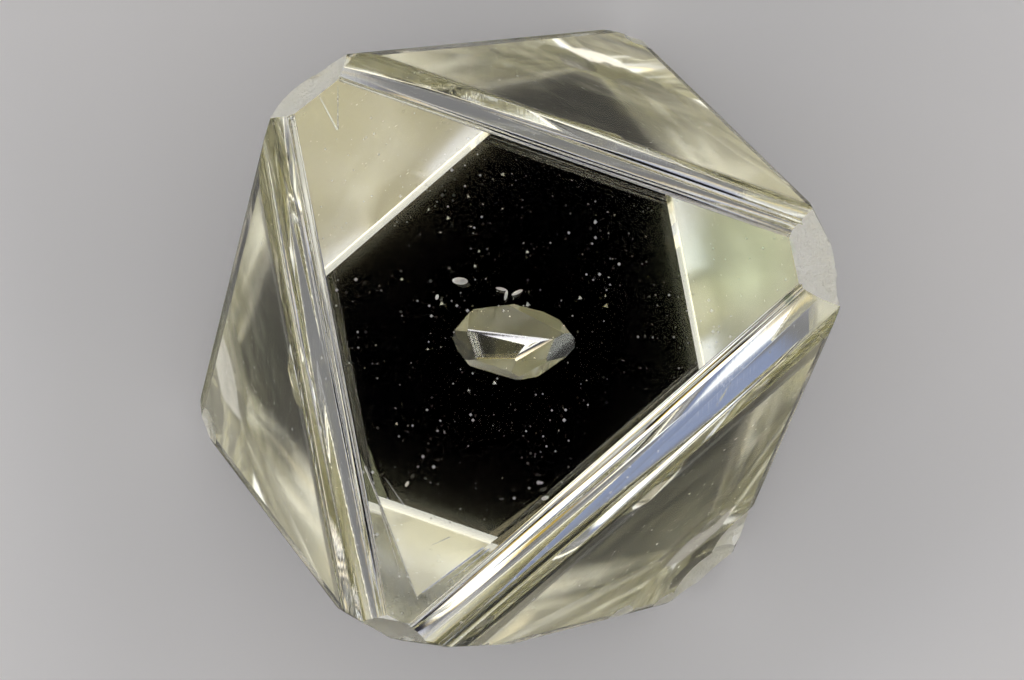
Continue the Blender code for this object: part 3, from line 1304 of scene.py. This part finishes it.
@dataclass(frozen=True)
class Lamp:
    """A soft panel of the studio light.

    It is seen in the directions that lie near its own. Its light grows from none to all of its colour as
    the cosine between the two goes from first to full.
    """

    azimuth: float
    height: float
    first: float
    full: float
    color: Color

    def add(self, pen: NodePen, light: Socket, facing: Socket, within: Socket | float) -> Socket:
        """Adds the panel to the light.

        Args:
            pen: The world's pen.
            light: The light so far.
            facing: The direction that is looked in.
            within: The share of the panel that is kept.

        Returns:
            The colour output.
        """
        share = pen.window(pen.along(facing, self.azimuth, self.height), self.first, self.full)
        return pen.mix(pen.math("MULTIPLY", share, within), light, self.color, "ADD")


@dataclass(frozen=True)
class SidePanel:
    """A soft panel low beside the stone, with a dark oval opening, mirrored by one of its upper sides.

    The opening's middle lies across and down from the direction that the lens mirrors to, and its soft
    edge runs from inner to outer, all as shares of a radian. Flatness is how many times wider than high
    the opening is, and rim holds the cosines between which the panel itself ends.
    """

    azimuth: float
    across: float
    down: float
    flatness: float
    inner: float
    outer: float
    color: Color
    rim: Span = (0.9880, 0.9945)

    def add(self, pen: NodePen, light: Socket, facing: Socket) -> Socket:
        """Adds the panel with its dark opening to the light.

        Args:
            pen: The world's pen.
            light: The light so far.
            facing: The direction that is looked in.

        Returns:
            The colour output.
        """
        near = pen.window(pen.along(facing, self.azimuth, MIRROR_HEIGHT), *self.rim)
        across = pen.along(facing, self.azimuth + 90.0, 0.0)
        across = pen.math("SUBTRACT", across, self.across)
        down = pen.along(facing, self.azimuth + 180.0, -90.0 - MIRROR_HEIGHT)
        down = pen.math("MULTIPLY", pen.math("SUBTRACT", down, self.down), self.flatness)
        away = pen.math("ADD", pen.math("MULTIPLY", across, across), pen.math("MULTIPLY", down, down))
        away = pen.window(pen.math("SQRT", away), self.inner, self.outer)
        return pen.mix(pen.math("MULTIPLY", near, away), light, self.color, "ADD")


@dataclass
class Studio:
    """A pale floor in soft light from all round, dark straight above.

    The light stands in six broad sectors: three over the stone's rounded edges and three between them.
    Three small panels stand beside the lens, three low ones light one rounded edge, and three low ones
    with dark openings stand where the upper sides mirror the lens. The floor isn't seen in the stone,
    which shows the dark stage below it.
    """

    floor_size: float = 3.0
    floor_color: Color = (0.80, 0.80, 0.80)
    floor_roughness: float = 0.9
    floor_drop: float = 2e-6

    # How often the light repeats round the stone, and how far its sectors run into each other.
    repeats: float = 3.0
    sector_blend: float = 0.35
    # Where each band of the light starts, as the sine of its height, and its colour.
    over_edges: Bands = (
        (-1.0, (0.0, 0.0, 0.0)),
        (-0.85, (0.03, 0.03, 0.04)),
        (-0.60, (0.03, 0.03, 0.04)),
        (-0.56, (0.03, 0.03, 0.03)),
        (0.19, (0.03, 0.03, 0.03)),
        (0.23, (0.9, 0.9, 0.9)),
        (0.40, (0.9, 0.9, 0.9)),
        (0.44, (2.5, 2.1, 1.3)),
        (0.50, (2.1, 2.1, 2.0)),
        (0.60, (1.9, 2.0, 2.3)),
        (0.65, (1.5, 1.6, 2.1)),
        (0.69, (0.0, 0.0, 0.0)),
    )
    between_edges: Bands = (
        (-1.0, (0.0, 0.0, 0.0)),
        (-0.60, (0.03, 0.03, 0.03)),
        (-0.25, (0.03, 0.03, 0.03)),
        (-0.20, (1.9, 1.7, 1.3)),
        (-0.10, (1.9, 1.9, 1.9)),
        (0.19, (1.9, 1.9, 1.9)),
        (0.23, (1.4, 1.4, 1.4)),
        (0.40, (1.4, 1.4, 1.6)),
        (0.44, (0.05, 0.05, 0.07)),
        (0.65, (0.05, 0.05, 0.07)),
        (0.70, (2.2, 1.9, 1.4)),
        (0.80, (1.8, 1.8, 2.0)),
        (0.85, (0.0, 0.0, 0.0)),
    )
    # The lens lamps start between these sines of height, above the bands and beside the lens.
    beside_lens: Span = (0.9945, 0.9965)
    lens_lamps: tuple[Lamp, ...] = (
        Lamp(129.7, 0.0, 0.0284, 0.0296, (1.25, 1.12, 0.80)),
        Lamp(10.0, 0.0, 0.0297, 0.0309, (1.12, 1.15, 0.80)),
        Lamp(250.6, 0.0, 0.0319, 0.0331, (1.75, 1.65, 1.25)),
    )
    low_lamps: tuple[Lamp, ...] = (
        Lamp(130.9, -48.0, 0.958, 0.986, (1.55, 1.55, 1.40)),
        Lamp(136.0, -38.0, 0.972, 0.990, (0.05, 0.12, 0.35)),
        Lamp(124.0, -60.0, 0.965, 0.990, (0.70, 0.50, 0.10)),
    )
    side_panels: tuple[SidePanel, ...] = (
        SidePanel(TOP, 0.0020, 0.0395, 2.4, 0.017, 0.029, (0.85, 0.80, 0.60)),
        SidePanel(LEFT, -0.0013, 0.0374, 2.8, 0.018, 0.029, (0.72, 0.69, 0.55)),
        SidePanel(LOW, 0.0051, 0.0348, 1.8, 0.021, 0.032, (0.52, 0.49, 0.37)),
    )

    clear_bounces: int = 48
    floor_bounces: int = 3

    def build_floor(self) -> Piece:
        """Builds the floor.

        Returns:
            The floor.
        """
        deselect_all()
        bpy.ops.mesh.primitive_plane_add(size=self.floor_size, location=(0, 0, -self.floor_drop))
        floor = bpy.context.object
        floor.name = "floor"
        material, _pen, _shader = start_material("pale_floor", {
            "Base Color": self.floor_color,
            "Roughness": self.floor_roughness,
            "Specular IOR Level": 0.0,
        })
        floor.data.materials.append(material)
        floor.visible_glossy = False
        floor.visible_transmission = False
        return floor

    def build_light(self) -> None:
        """Sets the world to the bands of light and their panels."""
        world = bpy.data.worlds.new("studio")
        bpy.context.scene.world = world
        world.use_nodes = True
        pen = NodePen(world.node_tree)
        facing = pen.add("ShaderNodeTexCoord").outputs["Generated"]
        parts = pen.add("ShaderNodeSeparateXYZ", {0: facing})
        share = pen.math("MULTIPLY_ADD", parts.outputs["Z"], 0.5, 0.5)
        turned = pen.math("ARCTAN2", parts.outputs["Y"], parts.outputs["X"])
        turned = pen.math("SUBTRACT", turned, math.radians(TOP))
        sector = pen.math("COSINE", pen.math("MULTIPLY", turned, self.repeats))
        over = pen.window(sector, -self.sector_blend, self.sector_blend)
        light = pen.mix(over, pen.bands(share, self.between_edges), pen.bands(share, self.over_edges))
        beside_lens = pen.window(parts.outputs["Z"], *self.beside_lens)
        for lamp in self.lens_lamps:
            light = lamp.add(pen, light, facing, beside_lens)
        for lamp in self.low_lamps:
            light = lamp.add(pen, light, facing, 1.0)
        for panel in self.side_panels:
            light = panel.add(pen, light, facing)
        background = world.node_tree.nodes["Background"]
        pen.feed(light, background.inputs["Color"])
        pen.feed(1.0, background.inputs["Strength"])
        world.cycles.sampling_method = "NONE"

    def set_light_paths(self) -> None:
        """Lets light bounce often enough inside the stone, and keeps its shade on the floor dark."""
        cycles = bpy.context.scene.cycles
        cycles.max_bounces = self.clear_bounces
        cycles.glossy_bounces = self.clear_bounces
        cycles.transmission_bounces = self.clear_bounces
        cycles.diffuse_bounces = self.floor_bounces
        cycles.caustics_reflective = False
        cycles.caustics_refractive = False
        cycles.use_denoising = True
        bpy.context.scene.view_settings.view_transform = "Standard"


@dataclass
class CameraStand:
    """The camera, straight above the stone."""

    aim: Vector
    distance: float
    lens: float
    sensor: float = 36.0
    clip: Span = (1e-4, 20.0)

    def build(self) -> Piece:
        """Sets up the camera.

        Returns:
            The camera.
        """
        data = bpy.data.cameras.new("camera")
        data.lens = self.lens
        data.sensor_width = self.sensor
        data.clip_start, data.clip_end = self.clip
        camera = bpy.data.objects.new("camera", data)
        bpy.context.scene.collection.objects.link(camera)
        camera.location = self.aim + UP * self.distance
        bpy.context.scene.camera = camera
        return camera


def main() -> None:
    """Builds the scene in order: camera, studio, inclusion, stone."""
    logging.basicConfig(level=logging.INFO, format="%(message)s")
    camera_stand().build()
    studio = Studio()
    studio.build_floor()
    studio.build_light()
    studio.set_light_paths()
    crystal = inclusion_crystal()
    body = diamond_body()
    diamond = body.build(crystal.build_pocket())
    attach(diamond, BODY)
    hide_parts("diamond_upper_half", "diamond_lower_half")
    LOG.info("diamond: %d faces", len(diamond.data.polygons))
    inclusion = crystal.build()
    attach(inclusion, BODY)
    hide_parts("inclusion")
    LOG.info("inclusion: %d faces", len(inclusion.data.polygons))


def camera_stand() -> CameraStand:
    """Gives the camera's place and lens."""
    aim = Vector((0.01322, -0.05633, THICKNESS / 2))
    return CameraStand(aim=aim * MM, distance=40.54 * MM, lens=210.94)


def inclusion_crystal() -> InclusionCrystal:
    """Gives the inclusion's place and facets, in millimetres and degrees.

    Returns:
        The inclusion.
    """
    facets = {
        "broad upper face": Facet(100.9, 28.7, 0.112),
        "upper right strip": Facet(73.8, 60.7, 0.198),
        "left tip": Facet(140.6, 42.7, 0.227),
        "wide lower face": Facet(214.6, 18.7, 0.115),
        "middle face": Facet(283.5, 27.2, 0.142),
        "right face": Facet(308.7, 40.7, 0.205),
        "small lower face": Facet(280.0, 42.4, 0.154),
        "lower right face": Facet(292.0, 67.0, 0.205),
        "lower band": Facet(250.9, 69.4, 0.179),
        "left lower face": Facet(205.4, 42.3, 0.198),
        "narrow lower face": Facet(248.1, 37.4, 0.138),
        "rim, far left": Facet(180.0, 90.0, 0.422),
        "rim, upper left": Facet(144.8, 90.0, 0.400),
        "rim, top": Facet(96.7, 90.0, 0.248),
        "rim, top right": Facet(63.4, 90.0, 0.272),
        "rim, right": Facet(39.5, 90.0, 0.334),
        "rim, far right": Facet(4.0, 90.0, 0.407),
        "rim, lower right": Facet(321.7, 90.0, 0.361),
        "rim, bottom": Facet(280.3, 90.0, 0.242),
        "rim, lower left": Facet(255.6, 90.0, 0.232),
        "rim, left": Facet(218.9, 90.0, 0.305),
        "back, upper": Facet(80.0, 145.0, 0.165),
        "back, lower": Facet(262.0, 149.0, 0.172),
        "back, right": Facet(20.0, 129.0, 0.285),
        "back, left": Facet(198.0, 131.0, 0.290),
        "back, lower right": Facet(322.0, 121.0, 0.272),
        "back, upper left": Facet(140.0, 123.0, 0.285),
        "back flat": Facet(0.0, 180.0, 0.090),
    }
    return InclusionCrystal(Vector((-0.034, -0.095, 1.40)), facets, InclusionFinish())


def diamond_body() -> DiamondBody:
    """Gives the stone's sizes, in millimetres and degrees, and its finishes.

    Returns:
        The stone.
    """
    front_edges = {
        "top": FrontEdge(TOP, 1.144, 0.255, Finish.TOP_EDGE),
        "left": FrontEdge(LEFT, 1.162, 0.320, Finish.LEFT_EDGE),
        "low": FrontEdge(LOW, 0.982, 0.393, Finish.LOW_EDGE),
    }
    back_edges = {
        "upper left": BackEdge(UPPER_LEFT, 1.108, 0.040, 21.3),
        "right": BackEdge(RIGHT, 1.149, 0.034, 20.6),
        "bottom": BackEdge(BOTTOM, 1.364, 0.047, 19.2),
    }
    side_edges = (
        SideEdge("top", "upper left", 0.30),
        SideEdge("top", "right", 0.20),
        SideEdge("low", "right", 0.24),
        SideEdge("low", "bottom", 0.20),
        SideEdge("left", "bottom", 0.32),
        SideEdge("left", "upper left", 0.47),
    )
    corner_flats = (
        LevelFlat(128.0, 50.0, 2.000, THICKNESS, Finish.BROKEN),
        LevelFlat(119.0, 36.0, 2.020, THICKNESS, Finish.BROKEN),
        LevelFlat(138.0, 38.0, 2.050, THICKNESS, Finish.BROKEN),
        LevelFlat(123.0, 87.0, 2.120, 2.55),
        LevelFlat(139.0, 87.0, 2.160, 2.55),
        LevelFlat(12.0, 38.0, 1.860, THICKNESS, Finish.BROKEN),
        LevelFlat(2.5, 30.0, 1.900, THICKNESS, Finish.BROKEN),
        LevelFlat(22.0, 33.0, 1.900, THICKNESS, Finish.BROKEN),
        LevelFlat(7.0, 56.0, 2.030, THICKNESS, Finish.BROKEN),
        LevelFlat(18.0, 60.0, 2.040, THICKNESS, Finish.BROKEN),
        LevelFlat(10.5, 85.0, 2.170, 2.44, Finish.BROKEN),
        LevelFlat(27.0, 86.0, 2.095, 2.40),
        LevelFlat(250.0, 52.0, 2.050, THICKNESS),
        LevelFlat(241.0, 36.0, 2.030, THICKNESS),
        LevelFlat(260.0, 34.0, 2.010, THICKNESS),
        LevelFlat(239.5, 86.0, 2.175, 2.50),
        LevelFlat(262.0, 86.0, 2.130, 2.50),
        LevelFlat(273.0, 87.0, 2.070, 2.40),
        LevelFlat(76.0, 97.0, 2.165, 0.40),
        LevelFlat(62.0, 95.0, 2.185, 0.40),
        LevelFlat(71.0, 136.0, 2.040, 0.00),
        LevelFlat(191.0, 97.0, 2.265, 0.40),
        LevelFlat(204.0, 95.0, 2.260, 0.50),
        LevelFlat(193.0, 138.0, 2.120, 0.00),
        LevelFlat(313.0, 97.0, 2.190, 0.50, Finish.BROKEN),
        LevelFlat(299.0, 94.0, 2.180, 0.60, Finish.BROKEN),
        LevelFlat(308.0, 134.0, 2.030, 0.00, Finish.BROKEN),
        LevelFlat(201.6, 3.0, 1.253, THICKNESS, Finish.FRONT),
        LevelFlat(306.0, 3.0, 1.030, THICKNESS, Finish.FRONT),
    )
    ledges = (
        Ledge("top", 0.06, 0.006, 0.25, end=1.6),
        Ledge("top", 0.52, 0.008, -0.7, end=1.1),
        Ledge("left", 0.09, 0.007, -0.3, -1.6),
        Ledge("left", 0.20, 0.006, 0.5, end=0.9),
        Ledge("left", 0.70, 0.008, -0.5),
        Ledge("low", 0.05, 0.006, 0.2),
        Ledge("low", 0.11, 0.006, -0.4, end=0.4),
        Ledge("low", 0.78, 0.006, -0.3),
    )
    chips = (
        Chip(127.0, 2.62, 0.20, 0.026),
        Chip(137.5, 2.30, 0.16, 0.022),
        Chip(6.0, 2.38, 0.24, 0.040),
        Chip(14.8, 2.40, 0.18, 0.034),
        Chip(20.5, 2.10, 0.18, 0.030),
        Chip(245.0, 2.38, 0.22, 0.038),
        Chip(256.5, 2.30, 0.20, 0.035),
        Chip(81.0, 0.36, 0.16, 0.030),
        Chip(66.0, 0.46, 0.22, 0.035),
        Chip(197.0, 0.56, 0.24, 0.035),
        Chip(318.0, 0.60, 0.40, 0.055),
        Chip(308.0, 0.46, 0.44, 0.080),
        Chip(299.5, 0.56, 0.42, 0.065),
        Chip(291.0, 0.90, 0.28, 0.040),
        Chip(228.8, 1.70, 0.15, 0.026),
        Chip(273.3, 1.70, 0.13, 0.024),
    )
    marks = (
        Mark(-0.373, 0.311, 0.052, 0.024, 0.016, -4.0),
        Mark(-0.104, 0.259, 0.036, 0.010, 0.010, -12.0),
        Mark(-0.073, 0.218, 0.034, 0.010, 0.010, 78.0),
        Mark(0.000, 0.236, 0.040, 0.012, 0.010, 25.0),
        Mark(-0.523, 0.206, 0.018, 0.011, 0.008, 70.0),
        Mark(-0.719, -1.014, 0.020, 0.010, 0.010, 60.0),
        Mark(0.182, -1.106, 0.026, 0.013, 0.008, 20.0),
    )
    grooves = (
        Groove((-1.333, 1.597), (-1.176, 1.296), (0.004, 0.001)),
        Groove((-1.170, 1.584), (-1.170, 1.300), (0.004, 0.001)),
        Groove((-0.993, -0.897), (-0.647, -1.771), (0.002, 0.006)),
        Groove((-0.900, -1.150), (-0.700, -1.800), (0.001, 0.005)),
        Groove((-0.621, -1.726), (-0.217, -1.432), (0.006, 0.002)),
        Groove((-0.640, -1.800), (-0.180, -1.440), (0.005, 0.001)),
        Groove((-0.863, -0.975), (-0.739, -1.151), (0.003, 0.001)),
        Groove((-0.556, -1.412), (-0.438, -1.360), (0.003, 0.001)),
    )
    strip_lines = (
        StripLine("top", (0.04, 0.06), (-1.7, 1.7), (0.003, 0.002)),
        StripLine("top", (0.22, 0.14), (-1.7, 0.6), (0.003, 0.001)),
        StripLine("left", (0.05, 0.07), (-1.6, 1.8), (0.003, 0.003)),
        StripLine("left", (0.12, 0.20), (-1.0, 1.8), (0.001, 0.004)),
        StripLine("left", (0.30, 0.24), (-1.8, 0.8), (0.003, 0.001)),
        StripLine("low", (0.04, 0.05), (-1.8, 1.8), (0.003, 0.002)),
        StripLine("low", (0.10, 0.16), (-1.9, 0.2), (0.005, 0.001)),
        StripLine("low", (0.20, 0.34), (-1.9, -0.3), (0.005, 0.001)),
        StripLine("low", (0.14, 0.10), (0.2, 1.8), (0.001, 0.004)),
    )
    soft_green = Stain(1.455, 0.481, 0.50, (0.80, 0.97, 0.72))
    dark_green = Stain(1.781, 0.187, 0.07, (0.10, 0.22, 0.08))
    pale_green = Stain(1.730, 0.520, 0.10, (0.45, 0.72, 0.38))
    finishes = {
        Finish.FRONT: ClearFinish(Relief.POLISHED, 0.006, stains=(soft_green,)),
        Finish.BACK: ClearFinish(Relief.POLISHED, 0.02),
        Finish.TOP_EDGE: ClearFinish(Relief.STRIATED, 0.02, turn=TOP),
        Finish.LEFT_EDGE: ClearFinish(Relief.STRIATED, 0.02, turn=LEFT),
        Finish.LOW_EDGE: ClearFinish(Relief.STRIATED, 0.01, turn=LOW, bump=0.4, stains=(dark_green,)),
        Finish.UPPER_SIDE: ClearFinish(Relief.CLOUDY, 0.05, bump=0.22),
        Finish.LOWER_SIDE: ClearFinish(Relief.CLOUDY, 0.14, bump=0.6),
        Finish.WORN: ClearFinish(Relief.CLOUDY, 0.16, frost=0.10),
        Finish.BROKEN: ClearFinish(Relief.BROKEN, 0.30, frost=0.25, stains=(pale_green,)),
        Finish.PIT: ClearFinish(Relief.POLISHED, 0.20, specks=0.0),
        Finish.POCKET: ClearFinish(Relief.POLISHED, 0.01, specks=0.0),
    }
    return DiamondBody(
        front_edges=front_edges,
        back_edges=back_edges,
        side_edges=side_edges,
        corner_flats=corner_flats,
        ledges=ledges,
        chips=chips,
        marks=marks,
        grooves=grooves,
        strip_lines=strip_lines,
        finishes=finishes,
    )


if __name__ == "__main__":
    main()
